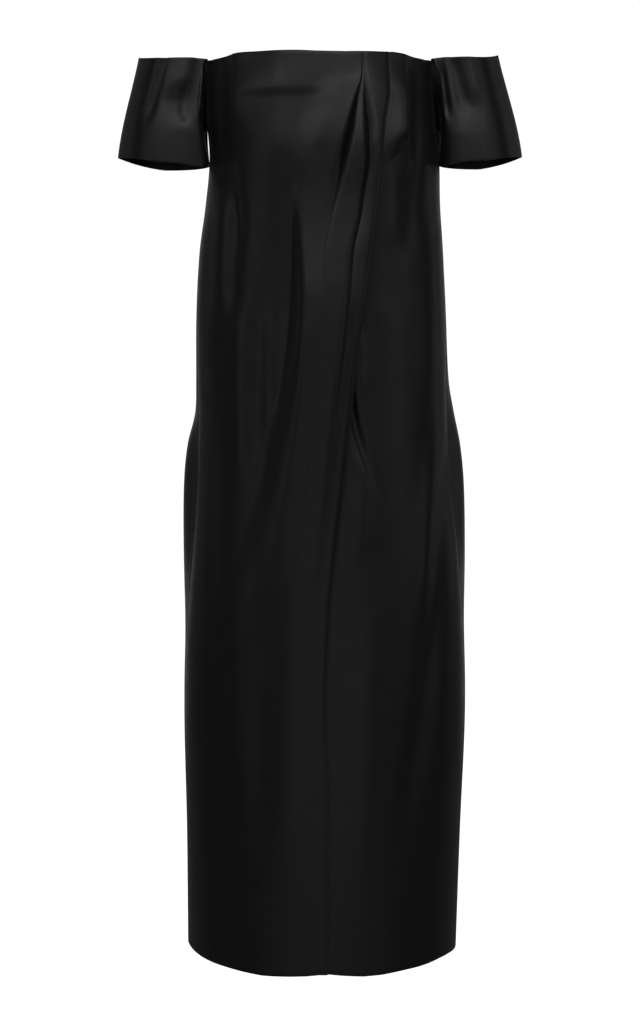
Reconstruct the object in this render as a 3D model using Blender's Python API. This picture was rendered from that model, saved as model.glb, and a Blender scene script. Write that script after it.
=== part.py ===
"""Off-the-shoulder midi dress in black satin, in the shape it has when worn.

The origin is the middle of the level neckline, where the wearer holds the dress. X runs to the
wearer's left, -Y is the front and Z is up. Sizes are in millimetres until a point is placed.

The dress is a column of four panels. The front over panel hangs from two pleats in the neckline,
and its folded edge crosses the front down to the hem, over the front under panel. Two back panels
meet at a centre-back seam. Each short sleeve is sewn to a U-shaped armhole and open at both ends.
"""

import math
from collections import namedtuple

import bmesh
import bpy
from mathutils import Vector

MM = 0.001

# Cloth and seams
CLOTH = 2.0
SEAM_GAP = 0.3
LAYER_LIFT = 3.4  # how far the over panel's face stands out from the under panel's
LAYER_START = -120.0  # where it starts to stand out, and over what width
LAYER_WIDTH = 70.0
LAYER_CLEAR = 1.2  # the least gap between the two where they lap
LAP_RISE = 0.8  # how steeply the under panel may come out beside the over panel's edge
LAP_FADE = 9.0  # its folds die away below that edge, from this far under it, over this width
LAP_FADE_WIDTH = 12.0

# Lengths, down from the neckline
HEM = -1124.0
ARMHOLE_DEPTH = 80.0

# The armhole's edges, in degrees round from the front, and the underarm point between them
UNDERARM = 92.0
ARMHOLE_FRONT = 17.0
ARMHOLE_BACK = 20.0

# The body's sections: half widths to each side, depths to the front and back, the power of the
# superellipse, and how far the back stands out past the front at each side seam.
Level = namedtuple("Level", "height left right front back square flare_left flare_right")
LEVELS = (
    Level(0, 147, 139, 108, 98, 2.4, 0, 0),
    Level(-60, 146, 141, 111.5, 101, 2.35, 0, 0),
    Level(-120, 141.5, 146.5, 113.5, 102, 2.3, 0, 0),
    Level(-180, 147, 148, 112, 99, 2.25, 0, 0),
    Level(-240, 155, 152, 110, 96, 2.2, 0, 0),
    Level(-320, 159, 156, 109.5, 95, 2.2, 0, 0),
    Level(-400, 160, 161, 112, 101, 2.2, 1, 3),
    Level(-440, 162, 168, 114, 107, 2.2, 4, 9),
    Level(-480, 172, 176, 116, 114, 2.2, 13, 15),
    Level(-530, 177, 181, 119, 121, 2.2, 17, 17),
    Level(-620, 178, 183, 124, 124, 2.2, 12, 9),
    Level(-720, 176.5, 182, 129, 124, 2.2, 3, 2),
    Level(-820, 176, 182, 134, 126, 2.2, 0, 0),
    Level(-970, 173, 176, 140, 131, 2.2, 0, 0),
    Level(HEM, 172, 171, 146, 137, 2.2, 0, 0),
)
FLARE_TURN = 16.0  # degrees past the seam in which the back comes out to its full width

# The side seams, in degrees round from the front
SeamLevel = namedtuple("SeamLevel", "height angle")
SEAM_FADE = 9.0  # degrees beside a side seam in which the folds die away
SIDE_SEAM = (
    SeamLevel(-ARMHOLE_DEPTH, UNDERARM),
    SeamLevel(-200, 89),
    SeamLevel(-420, 80),
    SeamLevel(-600, 80),
    SeamLevel(-800, 86),
    SeamLevel(HEM, 90),
)

# The bust is a soft rise on each side of the front, and above it the neckline leans back
BUST_SIDE = 62.0
BUST_HEIGHT = -118.0
BUST_SPREAD = 40.0
BUST_RISE = 2.6
LEAN = 6.5
LEAN_SIDE = 90.0
LEAN_WIDTH = 36.0
LEAN_DEPTH = 50.0

# The over panel's pleats, as places across the front. Two folds lie together at the neckline and
# part below it. From the wearer's right they are the foot of the wide far fold, the side and crest
# of its top, the hollow beside it, the side and crest of the middle fold, the trough, the near
# fold's crest and the panel's free edge. Lower down the folds run together into one drape. Each
# has its lift, and roll is how far the free edge turns down towards the under panel.
Pleat = namedtuple(
    "Pleat",
    "height foot far_side far hollow middle_side middle trough near edge"
    " lift_far lift_hollow lift_middle lift_trough lift_near lift_edge roll",
)
PLEATS = (
    Pleat(0, 9.1, 38.2, 46.7, 47.9, 48.9, 49.8, 50.8, 53.3, 82.4, 0.3, -0.5, -0.2, -0.2, 0.3, 0.3, 1.6),
    Pleat(-27, -0.6, 33.3, 45.8, 47.6, 48.7, 49.8, 51, 54.5, 81.5, 0.8, -1, -0.1, -0.1, 1, 0.8, 1.8),
    Pleat(-39, -10.3, 27.3, 43, 45.4, 47.6, 48.8, 50.5, 55.7, 80.9, 1.6, -1.2, 0.4, -0.1, 2, 1.4, 2),
    Pleat(-57, -22.4, 18.8, 36.3, 40.6, 44.8, 46.6, 50.8, 57.5, 79.3, 2.8, -1.8, 1.8, -0.3, 3.4, 2.6, 2.2),
    Pleat(-74, -28, 11.5, 30.9, 36.9, 42.4, 46, 52, 61.1, 75.9, 3.8, -2.8, 3.2, -0.4, 4.6, 3.6, 2.4),
    Pleat(-91, -34, 4.3, 25.4, 33.6, 40.5, 45.4, 53.6, 63.5, 73.4, 4.6, -3.4, 4.6, -0.8, 5.4, 4.4, 2.6),
    Pleat(-110, -38, -3, 20, 29, 38.1, 45.4, 53.8, 63.5, 71.7, 5, -3.4, 5.4, -0.6, 5.8, 4.6, 2.6),
    Pleat(-138, -42, -12.7, 12.1, 23.6, 32.1, 44.2, 53.9, 63, 69.6, 4.8, -1.4, 6.2, 0, 6.2, 4.8, 2.6),
    Pleat(-169, -42, -20, 4.3, 16.4, 23.7, 40.6, 49.1, 58.8, 66.4, 5.4, 3, 7.4, 2.2, 7.4, 5.2, 2.6),
    Pleat(-203, -40, -21.2, -1.8, 7.9, 15.2, 37, 44.3, 55.8, 63, 8.6, 8, 10.8, 6.4, 10, 6.8, 2.6),
    Pleat(-242, -39, -20, -6.6, 1.2, 8.5, 27.3, 36.4, 49.8, 58.3, 13.8, 13.8, 15.8, 11.2, 13.4, 8, 2.6),
    Pleat(-302, -41, -17.6, -7.9, -0.6, 6.7, 21.3, 31, 43.2, 51.1, 21.8, 21.8, 22.6, 17.8, 17.2, 10.4, 2.4),
    Pleat(-351, -45, -20, -10.3, -3, 4.3, 17.7, 26.2, 35.9, 43.8, 23.6, 23.6, 24, 19.4, 17.2, 10.6, 2.4),
    Pleat(-424, -58, -23.7, -16.4, -9.1, -3, 9.2, 18.3, 28, 36, 20.4, 20.4, 20.8, 16.8, 14.2, 9, 2.2),
    Pleat(-521, -78, -34.7, -27.4, -20.1, -14, -1.8, 8, 18.3, 26, 13.8, 13.8, 14.2, 12, 10.2, 6.8, 1.8),
    Pleat(-667, -120.1, -49.4, -43.3, -35.9, -29.8, -17.6, -7.9, 2.5, 10.4, 6.2, 6.2, 6.4, 5.6, 4.8, 3.6, 1.5),
    Pleat(-789, -127.6, -56.7, -50.6, -44.5, -38.4, -27.4, -15.8, -4.2, 4.3, 2.6, 2.6, 2.6, 2.4, 2.2, 1.8, 1.2),
    Pleat(-863, -127.6, -56.8, -50.6, -43.3, -37.2, -27.4, -15.2, -1.8, 6.2, 1.2, 1.2, 1.2, 1.2, 1.2, 0.9, 0.8),
    Pleat(HEM, -127.8, -56.8, -50.7, -43.4, -37.3, -27.5, -15.2, -1.8, 6.2, 0.4, 0.4, 0.4, 0.4, 0.6, 0.5, 0.6),
)
ROLL_WIDTH = 5.0

# How far the under panel goes on below the over panel, at the neckline and at the hem
UNDERLAP_TOP = 20.0
UNDERLAP_HEM = 96.0

# Long soft folds: ridges, or troughs where the height is negative. Across is the place of the
# fold on the front, or of a fold on the back seen from behind its own side, at its two ends and
# between them.
Fold = namedtuple("Fold", "top bottom across_top across_mid across_end width rise")
OVER_FOLDS = (
    Fold(60, -200, -124, -124, -121, 9, -4.6),
    Fold(-85, -260, -114, -108, -101, 9, -2.6),
    Fold(-125, -350, -138, -140, -142, 8, -1.2),
    Fold(-120, -330, -123, -126, -128, 12, 1.8),
    Fold(-150, -340, -105, -108, -110, 10, -2.4),
    Fold(-280, -520, -54, -58, -60, 12, 1.8),
    Fold(-260, -520, -76, -79, -80, 12, -2.0),
    Fold(-290, -560, -100, -101, -100, 11, 2.2),
    Fold(-420, -720, -135, -138, -138, 14, -2.6),
    Fold(-560, -960, -98, -104, -106, 20, 2.4),
    Fold(-600, -1010, -68, -72, -78, 17, -2.6),
    Fold(-560, -1060, -32, -36, -44, 19, 2.6),
    Fold(-640, -1060, -126, -128, -126, 14, -1.8),
)
UNDER_FOLDS = (
    Fold(60, -180, 117, 117, 112, 8, -4.6),
    Fold(-120, -260, 108, 106, 104, 12, -2.6),
    Fold(-210, -330, 88, 86, 84, 18, -2.0),
    Fold(-160, -470, 135, 134, 132, 14, 2.8),
    Fold(-330, -430, 46, 44, 44, 8, 2.2),
    Fold(-392, -532, 33, 42.5, 68, 5.5, -5.4),
    Fold(-450, -640, 50, 48, 38, 13, 3.4),
    Fold(-420, -730, 147, 131, 126, 12, 3.6),
    Fold(-430, -1000, 157, 136, 92, 15, -5.0),
    Fold(-620, -1080, 60, 52, 40, 18, 2.2),
    Fold(-700, -1090, 150, 146, 140, 18, 2.0),
)
BACK_FOLDS = (
    Fold(-30, -330, 62, 54, 40, 16, 2.4),
    Fold(-150, -420, 96, 84, 66, 14, -2.8),
    Fold(-240, -480, 30, 36, 48, 14, 2.6),
    Fold(-520, -1040, 88, 100, 112, 20, 3.2),
    Fold(-560, -1080, 52, 58, 66, 18, -3.0),
    Fold(-640, -1100, 22, 24, 28, 17, 2.4),
)
FOLD_FADE = 0.32  # share of a fold's length over which each end dies away
BACK_FADE = 20.0  # degrees past the side seam in which the back's folds come in

# Pressed tucks beside the armholes. The cloth of the front rises over reach to a line from the
# neckline down to end, and drops back past it over soft. The line stands out by step_top at the
# neckline and step_end at its end, and its foot slants back towards the middle.
Tuck = namedtuple("Tuck", "across_top across_end end slant step_top step_end reach soft fade")
OVER_TUCK = Tuck(-112, -110, -84, 0, 2.4, 5.4, 48, 6, 45)
UNDER_TUCK = Tuck(105.5, 101.5, -99, 1.16, 2, 9.5, 32, 8, 26)

# How far the neckline and the hem are cut above level at places across
EdgePlace = namedtuple("EdgePlace", "across shift")
NECK_EDGE = (
    EdgePlace(-146, -0.6),
    EdgePlace(-138, -2.7),
    EdgePlace(-128, -2.2),
    EdgePlace(-120, -1.2),
    EdgePlace(-112, -0.4),
    EdgePlace(-104, 0.6),
    EdgePlace(-96, 0.9),
    EdgePlace(-84, 0.6),
    EdgePlace(-50, 0.1),
    EdgePlace(-28, -0.4),
    EdgePlace(-8, -1.4),
    EdgePlace(28, -1.8),
    EdgePlace(48, -1.0),
    EdgePlace(75, 0),
    EdgePlace(86, 1.2),
    EdgePlace(95, 0.5),
    EdgePlace(105, -0.9),
    EdgePlace(115, -2.0),
    EdgePlace(126, -3.0),
    EdgePlace(138, -1.5),
)
HEM_EDGE = (
    EdgePlace(-176, 8),
    EdgePlace(-169, 7),
    EdgePlace(-159, 4.5),
    EdgePlace(-148, 2.2),
    EdgePlace(-136, 0.5),
    EdgePlace(-122, -0.9),
    EdgePlace(-97, -3.2),
    EdgePlace(-74, -4.7),
    EdgePlace(-40, -3.7),
    EdgePlace(-20, -2.7),
    EdgePlace(-4, -1.0),
    EdgePlace(8, -1.3),
    EdgePlace(26, -3.2),
    EdgePlace(50, -5.0),
    EdgePlace(72, -4.5),
    EdgePlace(102, -1.8),
    EdgePlace(120, -0.7),
    EdgePlace(133, 0.6),
    EdgePlace(146, 2.5),
    EdgePlace(158, 3.0),
    EdgePlace(172, 1.2),
)
HEM_REACH = 160.0
NECK_REACH = 60.0

# The facing's lower edge shows through as a shallow step across the over panel
FACING = -50.0
FACING_STEP = 1.3
FACING_SOFT = 11.0
FACING_END = 8.0
FACING_END_SOFT = 30.0
FACING_START = -128.0
FACING_START_SOFT = 24.0

# The sleeves. Outer is the pressed fold at the sleeve's outer side, and inner is the side that
# lies along the body. Depths are from the fold to the front and back of the arm. Top and hem are
# the edges' heights, which rise to the fold at the outer side, and the hem droops by droop at
# droop_turn round the arm. The lower inner_square is, the squarer is the inner front corner.
Sleeve = namedtuple(
    "Sleeve",
    "name side outer_top outer_hem inner_top inner_hem front_top front_hem back_top back_hem"
    " top top_rise hem hem_rise droop droop_turn inner_square",
)
SLEEVES = (
    Sleeve("sleeve_right", -1, 232, 259, 146, 146, 47, 50, 50, 54, 0.9, 6.6, -128.5, 10.4, 5.8, -138, 0.35),
    Sleeve("sleeve_left", 1, 222, 253, 135, 149.5, 46, 50, 50, 54, 1.9, 9.1, -127, 10.1, 5.5, -145, 0.6),
)
SLEEVE_TOP_CURVE = 3.5
SLEEVE_HEM_CURVE = 1.2
DROOP_WIDTH = 30.0
SLEEVE_CLOTH = 1.8
SLEEVE_CLEAR = 1.4  # from the sleeve's inner side to the body
SEAM_STAND = 0.45  # from the sleeve's sewn edge to the panel it is sewn to
SEAM_LEAD = 15.0  # how far the sleeve stands out from its seam before it hangs
INNER_FULL = 0.7  # how full the sleeve's section is at its inner side, and how creased outside
OUTER_CREASE = 0.7
HEM_FORWARD = 10.0  # how far forward and in the hem's inner side lies
HEM_IN = 5.0
TOP_DRAW = 50.0  # degrees in which the top edge is drawn in to an end of the armhole seam
SEWN_SHARE = 0.1  # the share of the top edge at each end that leaves the body squarely
START_SHARE = 0.33  # shares of the sleeve's length at which its curve is steered
SEWN_DROP = 0.12
HEM_SHARE = 0.17
HEM_LEAD = 2.0
LEAD_SHARE = 0.22

# The sleeves' folds: where round the arm each lies at its top and bottom, in degrees from the
# outer fold and negative to the front, and how far down the sleeve it starts and ends.
SleeveFold = namedtuple("SleeveFold", "around_top around_end start end width rise")
RIGHT_SLEEVE_FOLDS = (
    SleeveFold(-70, -64, -0.25, 0.75, 9, -3.0),
    SleeveFold(-110, -92, -0.30, 0.42, 15, 3.2),
    SleeveFold(-100, -108, 0.20, 0.66, 8, -2.6),
    SleeveFold(-147, -136, 0.10, 0.65, 10, 2.4),
    SleeveFold(-100, -96, 0.40, 1.40, 26, 2.6),
    SleeveFold(70, 64, -0.2, 0.8, 9, -3.0),
    SleeveFold(100, 108, -0.2, 0.9, 12, 3.2),
    SleeveFold(124, 136, -0.2, 0.7, 8, -2.8),
)
LEFT_SLEEVE_FOLDS = (
    SleeveFold(-102, -112, -0.20, 0.70, 8, 2.0),
    SleeveFold(-116, -127, 0.00, 0.62, 9, -2.6),
    SleeveFold(-89, -97, -0.10, 0.62, 8, -2.6),
    SleeveFold(-74, -80, -0.20, 0.50, 9, 1.2),
    SleeveFold(-104, -104, 0.45, 1.40, 24, 2.6),
    SleeveFold(72, 66, -0.2, 0.8, 9, -3.0),
    SleeveFold(98, 106, -0.2, 0.9, 12, 3.2),
    SleeveFold(122, 134, -0.2, 0.7, 8, -2.8),
)

# Mesh density: rows down the panels and columns across them
ARMHOLE_ROWS = 7
BODICE_END = -300.0
BODICE_ROWS = 17
HIP_END = -850.0
HIP_ROWS = 14
SKIRT_ROWS = 5
OVER_COLUMNS = (10, 7, 3, 2, 2, 2, 2, 2, 3)
UNDERLAP_COLUMNS = 5
UNDER_COLUMNS = 15
BACK_COLUMNS = 11
SLEEVE_TOP_COLUMNS = 40
SLEEVE_SEAM_COLUMNS = 14
SLEEVE_ROWS = 8

# Finish
SATIN_BLACK = (0.006, 0.006, 0.007, 1.0)
SATIN_ROUGHNESS = 0.42
SHARP_EDGE = 50.0  # degrees past which an edge is shaded sharp


def smooth(share):
    """An S-shaped step from 0 to 1."""
    share = min(1.0, max(0.0, share))
    return share * share * (3 - 2 * share)


def mix(start, end, share):
    return start + (end - start) * share


def between(rows, height, column):
    """A table's column at a height, on a smooth curve through its rows."""
    values = [getattr(row, column) for row in rows]
    heights = [row.height for row in rows]
    if height >= heights[0]:
        return values[0]
    if height <= heights[-1]:
        return values[-1]
    i = next(k for k in range(len(rows) - 1) if height >= heights[k + 1])
    span = heights[i + 1] - heights[i]
    t = (height - heights[i]) / span

    def rate(k):
        low, high = max(k - 1, 0), min(k + 1, len(rows) - 1)
        return span * (values[high] - values[low]) / (heights[high] - heights[low])

    start, end = values[i], values[i + 1]
    bend = (start - end) * 2 + rate(i) + rate(i + 1)
    lean = (end - start) * 3 - 2 * rate(i) - rate(i + 1)
    return start + rate(i) * t + lean * t * t + bend * t**3


def seam_angle(height):
    return between(SIDE_SEAM, height, "angle")


def section(height, side):
    """The half widths, depths and power of the body's section at a height, on one side."""
    name = "right" if side > 0 else "left"
    flare = between(LEVELS, height, "flare_" + name)
    return (
        between(LEVELS, height, name) - flare,
        flare,
        between(LEVELS, height, "front"),
        between(LEVELS, height, "back"),
        between(LEVELS, height, "square"),
    )


def body_point(angle, height, lift):
    """A point of the body, angle degrees round from the front and lift out from its surface."""
    side = 1 if angle >= 0 else -1
    half, flare, front, back, square = section(height, side)
    turn = math.radians(abs(angle))
    half += flare * smooth((abs(angle) - seam_angle(height)) / FLARE_TURN)
    depth = front if abs(angle) < 90 else back
    across = math.sin(turn) ** (2 / square)
    along = math.copysign(abs(math.cos(turn)) ** (2 / square), -math.cos(turn))
    point = Vector((side * half * across, depth * along, height))
    out = Vector(
        (
            side * across ** (square - 1) / half,
            math.copysign(abs(along) ** (square - 1) / depth, along),
            0.0,
        )
    ).normalized()
    return point + out * lift, out


def angle_at(across, height):
    """The angle at which the front surface is that far across."""
    side = 1 if across >= 0 else -1
    half, _, _, _, square = section(height, side)
    return side * math.degrees(math.asin(min(1.0, (abs(across) / half) ** (square / 2))))


def across_at(angle, height):
    return body_point(angle, height, 0)[0].x


def bust_lift(across, height):
    """The bust's rise, less the neckline's lean."""
    aside = abs(across)
    rise = math.exp(-(((height - BUST_HEIGHT) / BUST_SPREAD) ** 2))
    lean = LEAN * smooth(1 + height / LEAN_DEPTH) * math.exp(-(((aside - LEAN_SIDE) / LEAN_WIDTH) ** 2))
    return rise * BUST_RISE * math.exp(-(((aside - BUST_SIDE) / BUST_SPREAD) ** 2)) - lean


def fold_lift(folds, across, height):
    """The height of all the soft folds of a table at one place."""
    total = 0.0
    for fold in folds:
        if not fold.bottom < height < fold.top:
            continue
        t = (fold.top - height) / (fold.top - fold.bottom)
        centre = (
            fold.across_top * (1 - t) * (1 - 2 * t)
            + fold.across_mid * 4 * t * (1 - t)
            + fold.across_end * t * (2 * t - 1)
        )
        ends = smooth(t / FOLD_FADE) * smooth((1 - t) / FOLD_FADE)
        total += fold.rise * ends * math.exp(-(((across - centre) / fold.width) ** 2))
    return total


def pleat_profile(height):
    """The over panel's fold crests and feet across the front at a height, with their lifts."""
    names = ("far_side", "far", "hollow", "middle_side", "middle", "trough", "near", "edge")
    lifts = ("far", "far", "hollow", "middle", "middle", "trough", "near", "edge")
    profile = [
        (between(PLEATS, height, name), between(PLEATS, height, "lift_" + lift))
        for name, lift in zip(names, lifts)
    ]
    return [(between(PLEATS, height, "foot"), 0.0), *profile]


def pleat_lift(across, height):
    profile = pleat_profile(height)
    if across <= profile[0][0]:
        return 0.0
    for (x0, lift0), (x1, lift1) in zip(profile, profile[1:]):
        if across <= x1:
            return mix(lift0, lift1, smooth((across - x0) / (x1 - x0)))
    return profile[-1][1]


def tuck_lift(tuck, across, height):
    """How far the cloth stands out beside a pressed tuck."""
    side = 1 if tuck.across_top > 0 else -1
    line = mix(tuck.across_top, tuck.across_end, height / tuck.end)
    foot = tuck.end + (across - tuck.across_end) * side * tuck.slant
    inside = (line - across) * side
    rise = smooth(inside / tuck.soft + 0.5) * smooth(1 - inside / tuck.reach)
    step = mix(tuck.step_top, tuck.step_end, smooth(height / tuck.end))
    return step * rise * smooth((height - foot) / tuck.fade + 0.5)


def over_lift(angle, height):
    """The over panel's relief: its layer, pleats, tuck, soft folds, facing's step and rolled edge."""
    across = across_at(angle, height)
    layer = LAYER_LIFT * smooth((across - LAYER_START) / LAYER_WIDTH)
    facing = FACING_STEP * smooth((height - FACING) / FACING_SOFT + 0.5)
    facing *= smooth((FACING_END - across) / FACING_END_SOFT)
    facing *= smooth((across - FACING_START) / FACING_START_SOFT)
    side = tuck_lift(OVER_TUCK, across, height) + fold_lift(OVER_FOLDS, across, height)
    side += bust_lift(across, height)
    relief = pleat_lift(across, height) + side * smooth((angle + front_edge(height)) / SEAM_FADE)
    from_edge = between(PLEATS, height, "edge") - across
    relief -= between(PLEATS, height, "roll") * (1 - smooth(from_edge / ROLL_WIDTH))
    return layer + facing + relief


def under_lift(angle, height):
    """The under panel's relief, which stays clear of the over panel where that covers it."""
    across = across_at(angle, height)
    past_edge = across - between(PLEATS, height, "edge")
    relief = fold_lift(UNDER_FOLDS, across, height) * smooth((past_edge + LAP_FADE) / LAP_FADE_WIDTH)
    relief += tuck_lift(UNDER_TUCK, across, height) + bust_lift(across, height)
    relief *= smooth((front_edge(height) - angle) / SEAM_FADE)
    most = over_lift(angle, height) - CLOTH - LAYER_CLEAR + max(0.0, past_edge) * LAP_RISE
    return min(relief, most)


def back_lift(angle, height):
    return fold_lift(BACK_FOLDS, abs(across_at(angle, height)), height) * smooth(
        (abs(angle) - seam_angle(height)) / BACK_FADE
    )


def edge_place(rows, across):
    """How far an edge is cut above level at one place across."""
    if across <= rows[0].across:
        return rows[0].shift
    for low, high in zip(rows, rows[1:]):
        if across < high.across:
            return mix(low.shift, high.shift, (across - low.across) / (high.across - low.across))
    return rows[-1].shift


def edge_shift(across, height):
    """How far the cloth is moved up by the cut of the neckline or hem, dying away from each."""
    near_hem = smooth(1 - (height - HEM) / HEM_REACH)
    near_neck = smooth(1 + height / NECK_REACH)
    return edge_place(HEM_EDGE, across) * near_hem + edge_place(NECK_EDGE, across) * near_neck


def armhole_share(height):
    """How wide the armhole is at a height, as a share of its width at the neckline."""
    return math.sqrt(max(0.0, 1 - (height / ARMHOLE_DEPTH) ** 2)) if height > -ARMHOLE_DEPTH else 0.0


def seam_half_gap(height):
    """Half of the gap at a side seam, in degrees round the body."""
    return math.degrees(SEAM_GAP / 2 / between(LEVELS, height, "front"))


def front_edge(height):
    """The angle at which the front's side edge lies: the armhole's edge, then the side seam."""
    return (
        seam_angle(height)
        - ARMHOLE_FRONT * armhole_share(height)
        - seam_half_gap(height)
    )


def back_edge(height):
    return (
        seam_angle(height) + ARMHOLE_BACK * armhole_share(height) + seam_half_gap(height)
    )


def centre_back(height):
    return 180 - math.degrees(SEAM_GAP / 2 / between(LEVELS, height, "left"))


def panel_heights():
    """The rows of every panel. The first ones are spaced evenly along the armhole's curve."""
    quarter = math.pi / 2 / ARMHOLE_ROWS
    heights = [-ARMHOLE_DEPTH * math.sin(k * quarter) for k in range(ARMHOLE_ROWS)]
    start = -ARMHOLE_DEPTH
    for end, rows in ((BODICE_END, BODICE_ROWS), (HIP_END, HIP_ROWS), (HEM, SKIRT_ROWS)):
        heights += [mix(start, end, k / rows) for k in range(rows)]
        start = end
    return heights + [HEM]


def spread(stops, counts):
    """Values that go from each stop to the next in the given number of steps."""
    values = [stops[0]]
    for start, end, count in zip(stops, stops[1:], counts):
        values += [mix(start, end, (k + 1) / count) for k in range(count)]
    return values


def over_angles(height):
    crests = [angle_at(across, height) for across, _ in pleat_profile(height)]
    return spread([-front_edge(height), *crests], OVER_COLUMNS)


def under_angles(height):
    underlap = mix(UNDERLAP_TOP, UNDERLAP_HEM, height / HEM)
    edge = between(PLEATS, height, "edge")
    stops = [angle_at(edge - underlap, height), angle_at(edge, height), front_edge(height)]
    return spread(stops, (UNDERLAP_COLUMNS, UNDER_COLUMNS))


def back_angles(side):
    def angles(height):
        return spread(
            [side * back_edge(height), side * centre_back(height)], (BACK_COLUMNS,)
        )

    return angles


def satin(name):
    material = bpy.data.materials.new(name)
    material.use_nodes = True
    shader = material.node_tree.nodes["Principled BSDF"]
    shader.inputs["Base Color"].default_value = SATIN_BLACK
    shader.inputs["Roughness"].default_value = SATIN_ROUGHNESS
    shader.inputs["Metallic"].default_value = 0.0
    return material


def wall(name, outer, inner, ring):
    """A closed wall between two grids of points, in millimetres. A ring's last column joins its first."""
    mesh = bmesh.new()
    faces = [
        [[mesh.verts.new(point * MM) for point in row] for row in grid]
        for grid in (outer, inner)
    ]
    rows, columns = len(outer), len(outer[0])
    steps = columns if ring else columns - 1
    for grid in faces:
        for i in range(rows - 1):
            for j in range(steps):
                k = (j + 1) % columns
                mesh.faces.new((grid[i][j], grid[i][k], grid[i + 1][k], grid[i + 1][j]))
    out, into = faces
    for i in (0, rows - 1):
        for j in range(steps):
            k = (j + 1) % columns
            mesh.faces.new((out[i][j], out[i][k], into[i][k], into[i][j]))
    if not ring:
        for j in (0, columns - 1):
            for i in range(rows - 1):
                mesh.faces.new((out[i][j], out[i + 1][j], into[i + 1][j], into[i][j]))
    bmesh.ops.triangulate(mesh, faces=mesh.faces)
    bmesh.ops.recalc_face_normals(mesh, faces=mesh.faces)
    data = bpy.data.meshes.new(name)
    mesh.to_mesh(data)
    mesh.free()
    data.shade_smooth()
    data.set_sharp_from_angle(angle=math.radians(SHARP_EDGE))
    data.materials.append(satin(name))
    piece = bpy.data.objects.new(name, data)
    bpy.context.scene.collection.objects.link(piece)
    return piece


def panel(name, angles, lift):
    """A wall of the body between two edges, with its relief on both faces."""
    grids = {0.0: [], CLOTH: []}
    for height in panel_heights():
        row = angles(height)
        for depth, grid in grids.items():
            points = [body_point(angle, height, lift(angle, height) - depth)[0] for angle in row]
            for point in points:
                point.z += edge_shift(point.x, height)
            grid.append(points)
    return wall(name, grids[0.0], grids[CLOTH], ring=False)


def arm_loop(turn, outer, inner, front, back, inner_square):
    """A point round the arm: a lens that is creased at its outer end and full at its inner one."""
    c, s = math.cos(math.radians(turn)), math.sin(math.radians(turn))
    centre, reach = (outer + inner) / 2, (outer - inner) / 2
    full = c if c > 0 else -(abs(c) ** INNER_FULL)
    power = 1 + OUTER_CREASE * max(0.0, c) ** 2
    if s < 0:
        power += (1 - inner_square) * min(0.0, c)
    return centre + reach * full, math.copysign((front if s < 0 else back) * abs(s) ** power, s)


def body_half_width(across_y, height, side):
    """How far out the body's surface is at a depth, on one side."""
    half, _, front, back, square = section(height, side)
    depth = front if across_y < 0 else back
    return half * (1 - min(1.0, abs(across_y) / depth) ** square) ** (1 / square)


def seam_place(sleeve, share):
    """A point of the armhole seam, from -1 at its front end by 0 at the underarm to 1 at its back."""
    turn = share * math.pi / 2
    reach = ARMHOLE_FRONT if share < 0 else ARMHOLE_BACK
    height = -(ARMHOLE_DEPTH + CLOTH) * math.cos(turn)
    edge = math.degrees(CLOTH / between(LEVELS, height, "front"))
    angle = UNDERARM + math.sin(turn) * (reach + edge)
    return body_point(sleeve.side * angle, height, SEAM_STAND)


def top_place(sleeve, turn, front_end, back_end):
    """A point of the sleeve's top edge, drawn in to the two ends of the armhole seam."""
    sizes = (sleeve.outer_top, sleeve.inner_top, sleeve.front_top, sleeve.back_top)
    out, depth = arm_loop(turn, *sizes, sleeve.inner_square)
    rise = sleeve.top + sleeve.top_rise * max(0.0, math.cos(math.radians(turn))) ** SLEEVE_TOP_CURVE
    point = Vector((sleeve.side * out, depth, rise))
    for end, seam in ((front_end, -1), (back_end, 1)):
        near = smooth(1 - abs(turn - end) / TOP_DRAW)
        if near > 0:
            out, depth = arm_loop(end, *sizes, sleeve.inner_square)
            corner = Vector((sleeve.side * out, depth, sleeve.top))
            point += (seam_place(sleeve, seam)[0] - corner) * near
    return point


def hem_place(sleeve, turn):
    """A point of the sleeve's hem, kept just clear of the body."""
    sizes = (sleeve.outer_hem, sleeve.inner_hem, sleeve.front_hem, sleeve.back_hem)
    out, depth = arm_loop(turn, *sizes, sleeve.inner_square)
    inward = (1 - math.cos(math.radians(turn))) / 2
    depth -= HEM_FORWARD * inward**2
    around = (turn + 180) % 360 - 180
    height = sleeve.hem - sleeve.droop * math.exp(-(((around - sleeve.droop_turn) / DROOP_WIDTH) ** 2))
    height += sleeve.hem_rise * max(0.0, math.cos(math.radians(turn))) ** SLEEVE_HEM_CURVE
    out = max(out - HEM_IN * inward**3, body_half_width(depth, height, sleeve.side) + SLEEVE_CLEAR)
    return Vector((sleeve.side * out, depth, height))


TOP_FRONT_END, TOP_BACK_END = -165, 140
HEM_FRONT_END, HEM_BACK_END = -150, 150


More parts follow.
